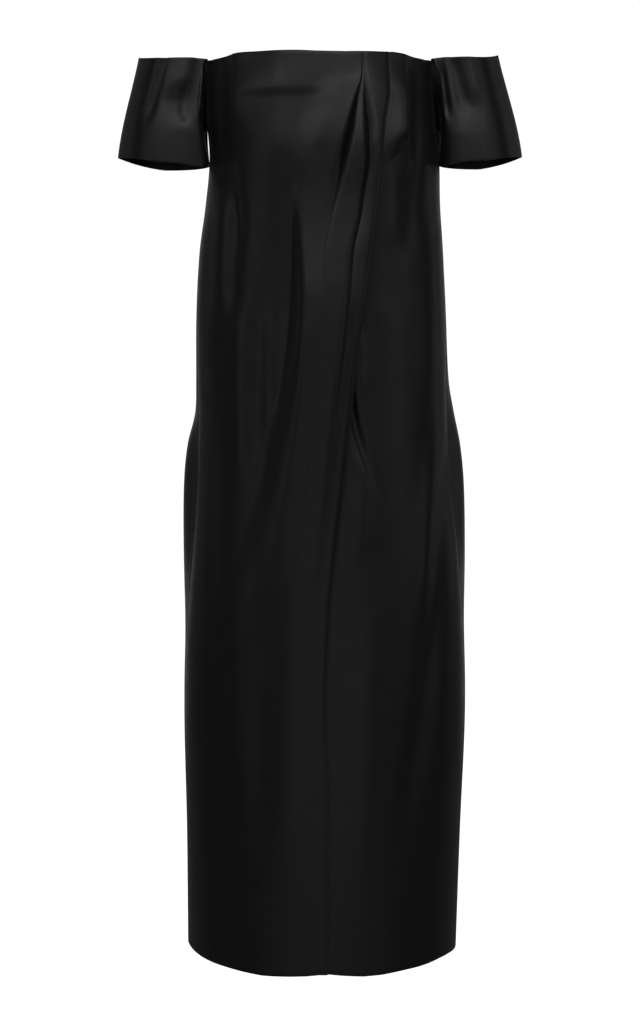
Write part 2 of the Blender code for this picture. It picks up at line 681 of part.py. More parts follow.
def sleeve_column(sleeve, share):
    """The curve from the sleeve's top edge to its hem. Share goes once round, from the front end
    of the armhole seam over the arm's outer side to its back end, then under the arm."""
    top_share = SLEEVE_TOP_COLUMNS / (SLEEVE_TOP_COLUMNS + SLEEVE_SEAM_COLUMNS)
    if share <= top_share:
        along = share / top_share
        start = top_place(
            sleeve, mix(TOP_FRONT_END, TOP_BACK_END, along), TOP_FRONT_END, TOP_BACK_END
        )
        turn = mix(HEM_FRONT_END, HEM_BACK_END, along)
        near = min(along, 1 - along)
        sewn = smooth(1 - near / SEWN_SHARE)
        out = seam_place(sleeve, -1 if along < 0.5 else 1)[1]
    else:
        along = (share - top_share) / (1 - top_share)
        start, out = seam_place(sleeve, mix(1, -1, along))
        turn = mix(HEM_BACK_END, 360 + HEM_FRONT_END, along)
        sewn = 1.0
    end = hem_place(sleeve, turn)
    length = (end - start).length
    lead = min(SEAM_LEAD, length * LEAD_SHARE) * sewn
    first = start + (end - start) * (START_SHARE * (1 - sewn)) + out * lead
    first -= Vector((0, 0, length * SEWN_DROP * sewn))
    last = end + (start - end) * HEM_SHARE + out * HEM_LEAD * sewn
    last += Vector((0, 0, length * HEM_SHARE))
    return turn, (start, first, last, end)


def sleeve_point(controls, t):
    start, first, last, end = controls
    s = 1 - t
    return start * s**3 + first * (3 * s * s * t) + last * (3 * s * t * t) + end * t**3


def sleeve_relief(folds, turn, t):
    turn = (turn + 180) % 360 - 180
    total = 0.0
    for fold in folds:
        if not fold.start < t < fold.end:
            continue
        along = (t - fold.start) / (fold.end - fold.start)
        centre = mix(fold.around_top, fold.around_end, along)
        ends = smooth(along / FOLD_FADE) * smooth((1 - along) / FOLD_FADE)
        total += fold.rise * ends * math.exp(-(((turn - centre) / fold.width) ** 2))
    return total


def sleeve_wall(sleeve, folds):
    """The sleeve as a ring of columns, with its wall built inwards from its outer face."""
    columns = SLEEVE_TOP_COLUMNS + SLEEVE_SEAM_COLUMNS
    curves = [sleeve_column(sleeve, j / columns) for j in range(columns)]
    plain = [
        [sleeve_point(controls, i / SLEEVE_ROWS) for _, controls in curves]
        for i in range(SLEEVE_ROWS + 1)
    ]

    def facing(i, j):
        up = plain[max(i - 1, 0)][j] - plain[min(i + 1, SLEEVE_ROWS)][j]
        across = plain[i][(j + 1) % columns] - plain[i][j - 1]
        return up.cross(across).normalized() * -sleeve.side

    outer, inner = [], []
    for i in range(SLEEVE_ROWS + 1):
        outer.append([])
        inner.append([])
        for j, (turn, _) in enumerate(curves):
            out = facing(i, j)
            raised = plain[i][j] + out * sleeve_relief(folds, turn, i / SLEEVE_ROWS)
            outer[-1].append(raised)
            inner[-1].append(raised - out * SLEEVE_CLOTH)
    return wall(sleeve.name, outer, inner, ring=True)


def clear_scene():
    for item in list(bpy.data.objects):
        bpy.data.objects.remove(item, do_unlink=True)


def build():
    clear_scene()
    panel("front_over_panel", over_angles, over_lift)
    panel("front_under_panel", under_angles, under_lift)
    panel("back_right_panel", back_angles(-1), back_lift)
    panel("back_left_panel", back_angles(1), back_lift)
    sleeve_wall(SLEEVES[0], RIGHT_SLEEVE_FOLDS)
    sleeve_wall(SLEEVES[1], LEFT_SLEEVE_FOLDS)


build()
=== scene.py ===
"""Off-the-shoulder midi dress in black satin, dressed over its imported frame.

Each CAD wall is replaced by a thin satin shell on the same surface, made from the same sections and
folds with finer creases between them. Tables are in millimetres, and a point is turned to metres
where a mesh is made. X runs to the wearer's left, -Y is the front and Z is up from the neckline.
"""

import math
from collections import namedtuple

import bpy
import numpy as np
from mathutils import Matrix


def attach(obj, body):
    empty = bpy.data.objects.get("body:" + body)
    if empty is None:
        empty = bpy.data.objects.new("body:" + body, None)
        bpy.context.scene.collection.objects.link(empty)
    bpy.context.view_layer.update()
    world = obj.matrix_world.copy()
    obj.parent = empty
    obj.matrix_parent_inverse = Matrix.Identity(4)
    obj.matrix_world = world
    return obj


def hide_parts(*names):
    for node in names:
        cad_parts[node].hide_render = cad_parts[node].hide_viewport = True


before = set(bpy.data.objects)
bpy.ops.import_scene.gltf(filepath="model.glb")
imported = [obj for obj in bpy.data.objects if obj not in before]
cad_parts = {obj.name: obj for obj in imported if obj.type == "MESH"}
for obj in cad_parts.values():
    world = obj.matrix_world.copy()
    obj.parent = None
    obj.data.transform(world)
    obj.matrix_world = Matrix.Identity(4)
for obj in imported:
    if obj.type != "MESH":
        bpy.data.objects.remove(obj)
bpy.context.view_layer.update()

MM = 0.001

# Satin and seams
SATIN = 1.1
SEAM_DIP = 0.9  # how far both edges of a seam turn in
SEAM_WIDTH = 2.6
LAYER_LIFT = 3.4
LAYER_START = -120.0
LAYER_WIDTH = 70.0
LAYER_CLEAR = 1.2
LAP_RISE = 0.8
LAP_FADE = 9.0
LAP_FADE_WIDTH = 12.0

# Lengths, down from the neckline
HEM = -1124.0
ARMHOLE_DEPTH = 80.0

# The armhole's edges, in degrees round from the front, and the underarm point between them
UNDERARM = 92.0
ARMHOLE_FRONT = 17.0
ARMHOLE_BACK = 20.0

# The body's sections: half widths to each side, depths to the front and back, the power of the
# superellipse, and how far the back stands out past the front at each side seam
Level = namedtuple("Level", "height left right front back square flare_left flare_right")
LEVELS = (
    Level(0, 147, 139, 108, 98, 2.4, 0, 0),
    Level(-60, 146, 141, 111.5, 101, 2.35, 0, 0),
    Level(-120, 141.5, 146.5, 113.5, 102, 2.3, 0, 0),
    Level(-180, 147, 148, 112, 99, 2.25, 0, 0),
    Level(-240, 155, 152, 110, 96, 2.2, 0, 0),
    Level(-320, 159, 156, 109.5, 95, 2.2, 0, 0),
    Level(-400, 160, 161, 112, 101, 2.2, 1, 3),
    Level(-440, 162, 168, 114, 107, 2.2, 4, 9),
    Level(-480, 172, 176, 116, 114, 2.2, 13, 15),
    Level(-530, 177, 181, 119, 121, 2.2, 17, 17),
    Level(-620, 178, 183, 124, 124, 2.2, 12, 9),
    Level(-720, 176.5, 182, 129, 124, 2.2, 3, 2),
    Level(-820, 176, 182, 134, 126, 2.2, 0, 0),
    Level(-970, 173, 176, 140, 131, 2.2, 0, 0),
    Level(HEM, 172, 171, 146, 137, 2.2, 0, 0),
)
FLARE_TURN = 16.0  # degrees past the seam in which the back comes out to its full width

# The side seams, in degrees round from the front
SeamLevel = namedtuple("SeamLevel", "height angle")
SEAM_FADE = 9.0
SIDE_SEAM = (
    SeamLevel(-ARMHOLE_DEPTH, UNDERARM),
    SeamLevel(-200, 89),
    SeamLevel(-420, 80),
    SeamLevel(-600, 80),
    SeamLevel(-800, 86),
    SeamLevel(HEM, 90),
)

# The bust is a soft rise on each side of the front, and above it the neckline leans back
BUST_SIDE = 62.0
BUST_HEIGHT = -118.0
BUST_SPREAD = 40.0
BUST_RISE = 2.6
LEAN = 6.5
LEAN_SIDE = 90.0
LEAN_WIDTH = 36.0
LEAN_DEPTH = 50.0

# The over panel's pleats, as places across the front. Two folds lie together at the neckline and
# part below it. From the wearer's right they are the foot of the wide far fold, the side and crest
# of its top, the hollow beside it, the side and crest of the middle fold, the trough, the near
# fold's crest and the panel's free edge. Lower down the folds run together into one drape. Each
# has its lift, and roll is how far the free edge turns down towards the under panel.
Pleat = namedtuple(
    "Pleat",
    "height foot far_side far hollow middle_side middle trough near edge"
    " lift_far lift_hollow lift_middle lift_trough lift_near lift_edge roll",
)
PLEATS = (
    Pleat(0, 9.1, 38.2, 46.7, 47.9, 48.9, 49.8, 50.8, 53.3, 82.4, 0.3, -0.5, -0.2, -0.2, 0.3, 0.3, 1.6),
    Pleat(-27, -0.6, 33.3, 45.8, 47.6, 48.7, 49.8, 51, 54.5, 81.5, 0.8, -1, -0.1, -0.1, 1, 0.8, 1.8),
    Pleat(-39, -10.3, 27.3, 43, 45.4, 47.6, 48.8, 50.5, 55.7, 80.9, 1.6, -1.2, 0.4, -0.1, 2, 1.4, 2),
    Pleat(-57, -22.4, 18.8, 36.3, 40.6, 44.8, 46.6, 50.8, 57.5, 79.3, 2.8, -1.8, 1.8, -0.3, 3.4, 2.6, 2.2),
    Pleat(-74, -28, 11.5, 30.9, 36.9, 42.4, 46, 52, 61.1, 75.9, 3.8, -2.8, 3.2, -0.4, 4.6, 3.6, 2.4),
    Pleat(-91, -34, 4.3, 25.4, 33.6, 40.5, 45.4, 53.6, 63.5, 73.4, 4.6, -3.4, 4.6, -0.8, 5.4, 4.4, 2.6),
    Pleat(-110, -38, -3, 20, 29, 38.1, 45.4, 53.8, 63.5, 71.7, 5, -3.4, 5.4, -0.6, 5.8, 4.6, 2.6),
    Pleat(-138, -42, -12.7, 12.1, 23.6, 32.1, 44.2, 53.9, 63, 69.6, 4.8, -1.4, 6.2, 0, 6.2, 4.8, 2.6),
    Pleat(-169, -42, -20, 4.3, 16.4, 23.7, 40.6, 49.1, 58.8, 66.4, 5.4, 3, 7.4, 2.2, 7.4, 5.2, 2.6),
    Pleat(-203, -40, -21.2, -1.8, 7.9, 15.2, 37, 44.3, 55.8, 63, 8.6, 8, 10.8, 6.4, 10, 6.8, 2.6),
    Pleat(-242, -39, -20, -6.6, 1.2, 8.5, 27.3, 36.4, 49.8, 58.3, 13.8, 13.8, 15.8, 11.2, 13.4, 8, 2.6),
    Pleat(-302, -41, -17.6, -7.9, -0.6, 6.7, 21.3, 31, 43.2, 51.1, 21.8, 21.8, 22.6, 17.8, 17.2, 10.4, 2.4),
    Pleat(-351, -45, -20, -10.3, -3, 4.3, 17.7, 26.2, 35.9, 43.8, 23.6, 23.6, 24, 19.4, 17.2, 10.6, 2.4),
    Pleat(-424, -58, -23.7, -16.4, -9.1, -3, 9.2, 18.3, 28, 36, 20.4, 20.4, 20.8, 16.8, 14.2, 9, 2.2),
    Pleat(-521, -78, -34.7, -27.4, -20.1, -14, -1.8, 8, 18.3, 26, 13.8, 13.8, 14.2, 12, 10.2, 6.8, 1.8),
    Pleat(-667, -120.1, -49.4, -43.3, -35.9, -29.8, -17.6, -7.9, 2.5, 10.4, 6.2, 6.2, 6.4, 5.6, 4.8, 3.6, 1.5),
    Pleat(-789, -127.6, -56.7, -50.6, -44.5, -38.4, -27.4, -15.8, -4.2, 4.3, 2.6, 2.6, 2.6, 2.4, 2.2, 1.8, 1.2),
    Pleat(-863, -127.6, -56.8, -50.6, -43.3, -37.2, -27.4, -15.2, -1.8, 6.2, 1.2, 1.2, 1.2, 1.2, 1.2, 0.9, 0.8),
    Pleat(HEM, -127.8, -56.8, -50.7, -43.4, -37.3, -27.5, -15.2, -1.8, 6.2, 0.4, 0.4, 0.4, 0.4, 0.6, 0.5, 0.6),
)
ROLL_WIDTH = 5.0
HOLLOWS = (3, 6)  # the stops of the profile that are creased, and how much
CREASED = 0.8

UNDERLAP_TOP = 20.0
UNDERLAP_HEM = 96.0

# Long soft folds: ridges, or troughs where the height is negative. Across is the place of the
# fold on the front, or of a fold on the back seen from behind its own side, at its two ends and
# between them.
Fold = namedtuple("Fold", "top bottom across_top across_mid across_end width rise")
OVER_FOLDS = (
    Fold(60, -200, -124, -124, -121, 9, -4.6),
    Fold(-85, -260, -114, -108, -101, 9, -2.6),
    Fold(-125, -350, -138, -140, -142, 8, -1.2),
    Fold(-120, -330, -123, -126, -128, 12, 1.8),
    Fold(-150, -340, -105, -108, -110, 10, -2.4),
    Fold(-280, -520, -54, -58, -60, 12, 1.8),
    Fold(-260, -520, -76, -79, -80, 12, -2.0),
    Fold(-290, -560, -100, -101, -100, 11, 2.2),
    Fold(-420, -720, -135, -138, -138, 14, -2.6),
    Fold(-560, -960, -98, -104, -106, 20, 2.4),
    Fold(-600, -1010, -68, -72, -78, 17, -2.6),
    Fold(-560, -1060, -32, -36, -44, 19, 2.6),
    Fold(-640, -1060, -126, -128, -126, 14, -1.8),
)
UNDER_FOLDS = (
    Fold(60, -180, 117, 117, 112, 8, -4.6),
    Fold(-120, -260, 108, 106, 104, 12, -2.6),
    Fold(-210, -330, 88, 86, 84, 18, -2.0),
    Fold(-160, -470, 135, 134, 132, 14, 2.8),
    Fold(-330, -430, 46, 44, 44, 8, 2.2),
    Fold(-392, -532, 33, 42.5, 68, 5.5, -5.4),
    Fold(-450, -640, 50, 48, 38, 13, 3.4),
    Fold(-420, -730, 147, 131, 126, 12, 3.6),
    Fold(-430, -1000, 157, 136, 92, 15, -5.0),
    Fold(-620, -1080, 60, 52, 40, 18, 2.2),
    Fold(-700, -1090, 150, 146, 140, 18, 2.0),
)
BACK_FOLDS = (
    Fold(-30, -330, 62, 54, 40, 16, 2.4),
    Fold(-150, -420, 96, 84, 66, 14, -2.8),
    Fold(-240, -480, 30, 36, 48, 14, 2.6),
    Fold(-520, -1040, 88, 100, 112, 20, 3.2),
    Fold(-560, -1080, 52, 58, 66, 18, -3.0),
    Fold(-640, -1100, 22, 24, 28, 17, 2.4),
)
FOLD_FADE = 0.32
BACK_FADE = 20.0

# Pressed tucks beside the armholes. The cloth of the front rises over reach to a line from the
# neckline down to end, and drops back past it over soft. The line stands out by step_top at the
# neckline and step_end at its end, and its foot slants back towards the middle.
Tuck = namedtuple("Tuck", "across_top across_end end slant step_top step_end reach soft fade")
OVER_TUCK = Tuck(-112, -110, -84, 0, 2.4, 5.4, 48, 6, 45)
UNDER_TUCK = Tuck(105.5, 101.5, -99, 1.16, 2, 9.5, 32, 8, 26)

# How far the neckline and the hem are cut above level at places across
EdgePlace = namedtuple("EdgePlace", "across shift")
NECK_EDGE = (
    EdgePlace(-146, -0.6),
    EdgePlace(-138, -2.7),
    EdgePlace(-128, -2.2),
    EdgePlace(-120, -1.2),
    EdgePlace(-112, -0.4),
    EdgePlace(-104, 0.6),
    EdgePlace(-96, 0.9),
    EdgePlace(-84, 0.6),
    EdgePlace(-50, 0.1),
    EdgePlace(-28, -0.4),
    EdgePlace(-8, -1.4),
    EdgePlace(28, -1.8),
    EdgePlace(48, -1.0),
    EdgePlace(75, 0),
    EdgePlace(86, 1.2),
    EdgePlace(95, 0.5),
    EdgePlace(105, -0.9),
    EdgePlace(115, -2.0),
    EdgePlace(126, -3.0),
    EdgePlace(138, -1.5),
)
HEM_EDGE = (
    EdgePlace(-176, 8),
    EdgePlace(-169, 7),
    EdgePlace(-159, 4.5),
    EdgePlace(-148, 2.2),
    EdgePlace(-136, 0.5),
    EdgePlace(-122, -0.9),
    EdgePlace(-97, -3.2),
    EdgePlace(-74, -4.7),
    EdgePlace(-40, -3.7),
    EdgePlace(-20, -2.7),
    EdgePlace(-4, -1.0),
    EdgePlace(8, -1.3),
    EdgePlace(26, -3.2),
    EdgePlace(50, -5.0),
    EdgePlace(72, -4.5),
    EdgePlace(102, -1.8),
    EdgePlace(120, -0.7),
    EdgePlace(133, 0.6),
    EdgePlace(146, 2.5),
    EdgePlace(158, 3.0),
    EdgePlace(172, 1.2),
)
HEM_REACH = 160.0
NECK_REACH = 60.0

# The facing's lower edge shows through as a shallow step across the over panel
FACING = -50.0
FACING_STEP = 1.3
FACING_SOFT = 11.0
FACING_END = 8.0
FACING_END_SOFT = 30.0
FACING_START = -128.0
FACING_START_SOFT = 24.0

# The sleeves. Outer is the pressed fold at the sleeve's outer side, and inner is the side that
# lies along the body. Depths are from the fold to the front and back of the arm. Top and hem are
# the edges' heights, which rise to the fold at the outer side, and the hem droops by droop at
# droop_turn round the arm. The lower inner_square is, the squarer is the inner front corner.
Sleeve = namedtuple(
    "Sleeve",
    "name side outer_top outer_hem inner_top inner_hem front_top front_hem back_top back_hem"
    " top top_rise hem hem_rise droop droop_turn inner_square",
)
SLEEVES = (
    Sleeve("sleeve_right", -1, 232, 259, 146, 146, 47, 50, 50, 54, 0.9, 6.6, -128.5, 10.4, 5.8, -138, 0.35),
    Sleeve("sleeve_left", 1, 222, 253, 135, 149.5, 46, 50, 50, 54, 1.9, 9.1, -127, 10.1, 5.5, -145, 0.6),
)
SLEEVE_TOP_CURVE = 3.5
SLEEVE_HEM_CURVE = 1.2
DROOP_WIDTH = 30.0
SLEEVE_CLEAR = 1.4
SEAM_STAND = 0.45
SEAM_LEAD = 15.0
INNER_FULL = 0.7
OUTER_CREASE = 0.7
HEM_FORWARD = 10.0
HEM_IN = 5.0
TOP_DRAW = 50.0
SEWN_SHARE = 0.1
START_SHARE = 0.33
SEWN_DROP = 0.12
HEM_SHARE = 0.17
HEM_LEAD = 2.0
LEAD_SHARE = 0.22
TOP_FRONT_END, TOP_BACK_END = -165, 140
HEM_FRONT_END, HEM_BACK_END = -150, 150

# The sleeves' folds: where round the arm each lies at its top and bottom, in degrees from the
# outer fold and negative to the front, and how far down the sleeve it starts and ends
SleeveFold = namedtuple("SleeveFold", "around_top around_end start end width rise")
RIGHT_SLEEVE_FOLDS = (
    SleeveFold(-70, -64, -0.25, 0.75, 9, -3.0),
    SleeveFold(-110, -92, -0.30, 0.42, 15, 3.2),
    SleeveFold(-100, -108, 0.20, 0.66, 8, -2.6),
    SleeveFold(-147, -136, 0.10, 0.65, 10, 2.4),
    SleeveFold(-100, -96, 0.40, 1.40, 26, 2.6),
    SleeveFold(70, 64, -0.2, 0.8, 9, -3.0),
    SleeveFold(100, 108, -0.2, 0.9, 12, 3.2),
    SleeveFold(124, 136, -0.2, 0.7, 8, -2.8),
)
LEFT_SLEEVE_FOLDS = (
    SleeveFold(-102, -112, -0.20, 0.70, 8, 2.0),
    SleeveFold(-116, -127, 0.00, 0.62, 9, -2.6),
    SleeveFold(-89, -97, -0.10, 0.62, 8, -2.6),
    SleeveFold(-74, -80, -0.20, 0.50, 9, 1.2),
    SleeveFold(-104, -104, 0.45, 1.40, 24, 2.6),
    SleeveFold(72, 66, -0.2, 0.8, 9, -3.0),
    SleeveFold(98, 106, -0.2, 0.9, 12, 3.2),
    SleeveFold(122, 134, -0.2, 0.7, 8, -2.8),
)

# Mesh density: rows down the panels and columns across them
ARMHOLE_ROWS = 28
BODICE_END = -360.0
BODICE_ROWS = 96
SKIRT_ROWS = 110
OVER_COLUMNS = (60, 40, 14, 9, 9, 9, 9, 11, 14)
UNDERLAP_COLUMNS = 16
UNDER_COLUMNS = 84
BACK_COLUMNS = 74
SLEEVE_TOP_COLUMNS = 168
SLEEVE_SEAM_COLUMNS = 56
SLEEVE_ROWS = 60


def smooth(share):
    """An S-shaped step from 0 to 1."""
    share = np.clip(share, 0.0, 1.0)
    return share * share * (3 - 2 * share)


def mix(start, end, share):
    return start + (end - start) * share


def between(rows, height, column):
    """A table's column at each height, on a smooth curve through its rows."""
    places = np.array([row.height for row in rows], float)
    values = np.array([getattr(row, column) for row in rows], float)
    low = np.maximum(np.arange(len(rows)) - 1, 0)
    high = np.minimum(np.arange(len(rows)) + 1, len(rows) - 1)
    rates = (values[high] - values[low]) / (places[high] - places[low])
    height = np.clip(height, places[-1], places[0])
    i = np.clip(np.searchsorted(-places, -height, side="right") - 1, 0, len(rows) - 2)
    span = places[i + 1] - places[i]
    t = (height - places[i]) / span
    bend = 2 * (values[i] - values[i + 1]) + span * (rates[i] + rates[i + 1])
    lean = 3 * (values[i + 1] - values[i]) - span * (2 * rates[i] + rates[i + 1])
    return values[i] + span * rates[i] * t + lean * t**2 + bend * t**3


def seam_angle(height):
    return between(SIDE_SEAM, height, "angle")


def section(height, right):
    """The half widths, depths and power of the body's section at each height."""
    half = np.where(right, between(LEVELS, height, "right"), between(LEVELS, height, "left"))
    flare = np.where(
        right, between(LEVELS, height, "flare_right"), between(LEVELS, height, "flare_left")
    )
    front, back, square = (between(LEVELS, height, name) for name in ("front", "back", "square"))
    return half - flare, flare, front, back, square


def body_point(angle, height, lift):
    """Points of the body, angle degrees round from the front and lift out, and their outward way."""
    angle, height = np.broadcast_arrays(np.asarray(angle, float), np.asarray(height, float))
    right = angle >= 0
    side = np.where(right, 1.0, -1.0)
    half, flare, front, back, square = section(height, right)
    turn = np.radians(np.abs(angle))
    half = half + flare * smooth((np.abs(angle) - seam_angle(height)) / FLARE_TURN)
    depth = np.where(np.abs(angle) < 90, front, back)
    across = np.sin(turn) ** (2 / square)
    along = np.copysign(np.abs(np.cos(turn)) ** (2 / square), -np.cos(turn))
    point = np.stack([side * half * across, depth * along, height], axis=-1)
    out = np.stack(
        [
            side * across ** (square - 1) / half,
            np.copysign(np.abs(along) ** (square - 1) / depth, along),
            np.zeros_like(half),
        ],
        axis=-1,
    )
    out /= np.linalg.norm(out, axis=-1, keepdims=True)
    return point + out * np.asarray(lift)[..., None], out


def angle_at(across, height):
    """The angle at which the front surface is that far across."""
    right = across >= 0
    half, _, _, _, square = section(height, right)
    share = np.minimum(1.0, (np.abs(across) / half) ** (square / 2))
    return np.where(right, 1, -1) * np.degrees(np.arcsin(share))


def across_at(angle, height):
    return body_point(angle, height, 0.0)[0][..., 0]


def bust_lift(across, height):
    """The bust's rise, less the neckline's lean."""
    aside = np.abs(across)
    rise = np.exp(-(((height - BUST_HEIGHT) / BUST_SPREAD) ** 2))
    lean = LEAN * smooth(1 + height / LEAN_DEPTH) * np.exp(-(((aside - LEAN_SIDE) / LEAN_WIDTH) ** 2))
    return rise * BUST_RISE * np.exp(-(((aside - BUST_SIDE) / BUST_SPREAD) ** 2)) - lean


def fold_lift(folds, across, height):
    """The height of all the soft folds of a table at each place."""
    total = np.zeros(np.broadcast(across, height).shape)
    for fold in folds:
        t = (fold.top - height) / (fold.top - fold.bottom)
        centre = (
            fold.across_top * (1 - t) * (1 - 2 * t)
            + fold.across_mid * 4 * t * (1 - t)
            + fold.across_end * t * (2 * t - 1)
        )
        ends = smooth(t / FOLD_FADE) * smooth((1 - t) / FOLD_FADE)
        total += fold.rise * ends * np.exp(-(((across - centre) / fold.width) ** 2))
    return total


def pleat_profile(height):
    """The over panel's fold crests and feet across the front at a height, with their lifts."""
    names = ("far_side", "far", "hollow", "middle_side", "middle", "trough", "near", "edge")
    lifts = ("far", "far", "hollow", "middle", "middle", "trough", "near", "edge")
    profile = [
        (between(PLEATS, height, name), between(PLEATS, height, "lift_" + lift))
        for name, lift in zip(names, lifts)
    ]
    return [(between(PLEATS, height, "foot"), 0.0 * height), *profile]


def pleat_lift(across, height):
    """The pleats' lift: the cloth rolls over each crest and meets in a crease in each hollow."""
    profile = pleat_profile(height)
    lift = profile[0][1] + 0.0 * across
    for i, ((x0, lift0), (x1, lift1)) in enumerate(zip(profile, profile[1:])):
        share = np.clip((across - x0) / (x1 - x0), 0, 1)
        step = smooth(share)
        if i + 1 in HOLLOWS:
            step = mix(step, share**2, CREASED)
        elif i in HOLLOWS:
            step = mix(step, 1 - (1 - share) ** 2, CREASED)
        lift = np.where(across > x0, mix(lift0, lift1, step), lift)
    return lift


def tuck_lift(tuck, across, height):
    """How far the cloth stands out beside a pressed tuck."""
    side = 1 if tuck.across_top > 0 else -1
    line = mix(tuck.across_top, tuck.across_end, height / tuck.end)
    foot = tuck.end + (across - tuck.across_end) * side * tuck.slant
    inside = (line - across) * side
    rise = smooth(inside / tuck.soft + 0.5) * smooth(1 - inside / tuck.reach)
    step = mix(tuck.step_top, tuck.step_end, smooth(height / tuck.end))
    return step * rise * smooth((height - foot) / tuck.fade + 0.5)


def over_lift(angle, height):
    """The over panel's relief: its layer, pleats, tuck, soft folds, facing's step and rolled edge."""
    across = across_at(angle, height)
    layer = LAYER_LIFT * smooth((across - LAYER_START) / LAYER_WIDTH)
    facing = FACING_STEP * smooth((height - FACING) / FACING_SOFT + 0.5)
    facing = facing * smooth((FACING_END - across) / FACING_END_SOFT)
    facing = facing * smooth((across - FACING_START) / FACING_START_SOFT)
    side = tuck_lift(OVER_TUCK, across, height) + fold_lift(OVER_FOLDS, across, height)
    side += bust_lift(across, height)
    relief = pleat_lift(across, height) + side * smooth((angle + front_edge(height)) / SEAM_FADE)
    from_edge = between(PLEATS, height, "edge") - across
    relief -= between(PLEATS, height, "roll") * (1 - smooth(from_edge / ROLL_WIDTH))
    return layer + facing + relief


def under_lift(angle, height):
    """The under panel's relief, which stays clear of the over panel where that covers it."""
    across = across_at(angle, height)
    past_edge = across - between(PLEATS, height, "edge")
    relief = fold_lift(UNDER_FOLDS, across, height) * smooth((past_edge + LAP_FADE) / LAP_FADE_WIDTH)
    relief += tuck_lift(UNDER_TUCK, across, height) + bust_lift(across, height)
    relief *= smooth((front_edge(height) - angle) / SEAM_FADE)
    most = over_lift(angle, height) - SATIN - LAYER_CLEAR + np.maximum(0.0, past_edge) * LAP_RISE
    return np.minimum(relief, most)


def back_lift(angle, height):
    shown = smooth((np.abs(angle) - seam_angle(height)) / BACK_FADE)
    return fold_lift(BACK_FOLDS, np.abs(across_at(angle, height)), height) * shown


def edge_place(rows, across):
    """How far an edge is cut above level at places across."""
    return np.interp(across, [row.across for row in rows], [row.shift for row in rows])


def edge_shift(across, height):
    """How far the cloth is moved up by the cut of the neckline or hem, dying away from each."""
    near_hem = smooth(1 - (height - HEM) / HEM_REACH)
    near_neck = smooth(1 + height / NECK_REACH)
    return edge_place(HEM_EDGE, across) * near_hem + edge_place(NECK_EDGE, across) * near_neck


def armhole_share(height):
    """How wide the armhole is at a height, as a share of its width at the neckline."""
    return np.sqrt(np.maximum(0.0, 1 - np.minimum(1.0, -height / ARMHOLE_DEPTH) ** 2))


def front_edge(height):
    return seam_angle(height) - ARMHOLE_FRONT * armhole_share(height)


def back_edge(height):
    return seam_angle(height) + ARMHOLE_BACK * armhole_share(height)


def panel_heights():
    """The rows of every panel. The first ones are spaced evenly along the armhole's curve."""
    turns = np.arange(ARMHOLE_ROWS) * math.pi / 2 / ARMHOLE_ROWS
    rows = [-ARMHOLE_DEPTH * np.sin(turns)]
    rows.append(np.linspace(-ARMHOLE_DEPTH, BODICE_END, BODICE_ROWS, endpoint=False))
    rows.append(np.linspace(BODICE_END, HEM, SKIRT_ROWS + 1))
    return np.concatenate(rows)


def spread(stops, counts):
    """Columns that go from each stop to the next in the given number of steps, for every row."""
    columns = [np.atleast_1d(stops[0])[:, None]]
    for start, end, count in zip(stops, stops[1:], counts):
        shares = np.arange(1, count + 1)[None, :] / count
        columns.append(mix(np.atleast_1d(start)[:, None], np.atleast_1d(end)[:, None], shares))
    return np.concatenate(columns, axis=1)


def over_angles(height):
    crests = [angle_at(across, height) for across, _ in pleat_profile(height)]
    return spread([-front_edge(height), *crests], OVER_COLUMNS)


def under_angles(height):
    underlap = mix(UNDERLAP_TOP, UNDERLAP_HEM, height / HEM)
    edge = between(PLEATS, height, "edge")
    stops = [angle_at(edge - underlap, height), angle_at(edge, height), front_edge(height)]
    return spread(stops, (UNDERLAP_COLUMNS, UNDER_COLUMNS))


def back_angles(side):
    def angles(height):
        return spread([side * back_edge(height), side * 180 + 0 * height], (BACK_COLUMNS,))

    return angles


def srgb(code, alpha=1.0):
    """A hex sRGB colour as linear values."""
    parts = [int(code[i : i + 2], 16) / 255 for i in (1, 3, 5)]
    linear = [c / 12.92 if c <= 0.04045 else ((c + 0.055) / 1.055) ** 2.4 for c in parts]
    return (*linear, alpha)


def add(tree, kind, settings=(), **links):
    """A node with its settings by name or input, and links into its inputs from other outputs."""
    made = tree.nodes.new(kind)
    for name, value in dict(settings).items():
        if name in made.inputs:
            made.inputs[name].default_value = value
        else:
            setattr(made, name, value)
    for name, output in links.items():
        tree.links.new(output, made.inputs[name.replace("_", " ")])
    return made


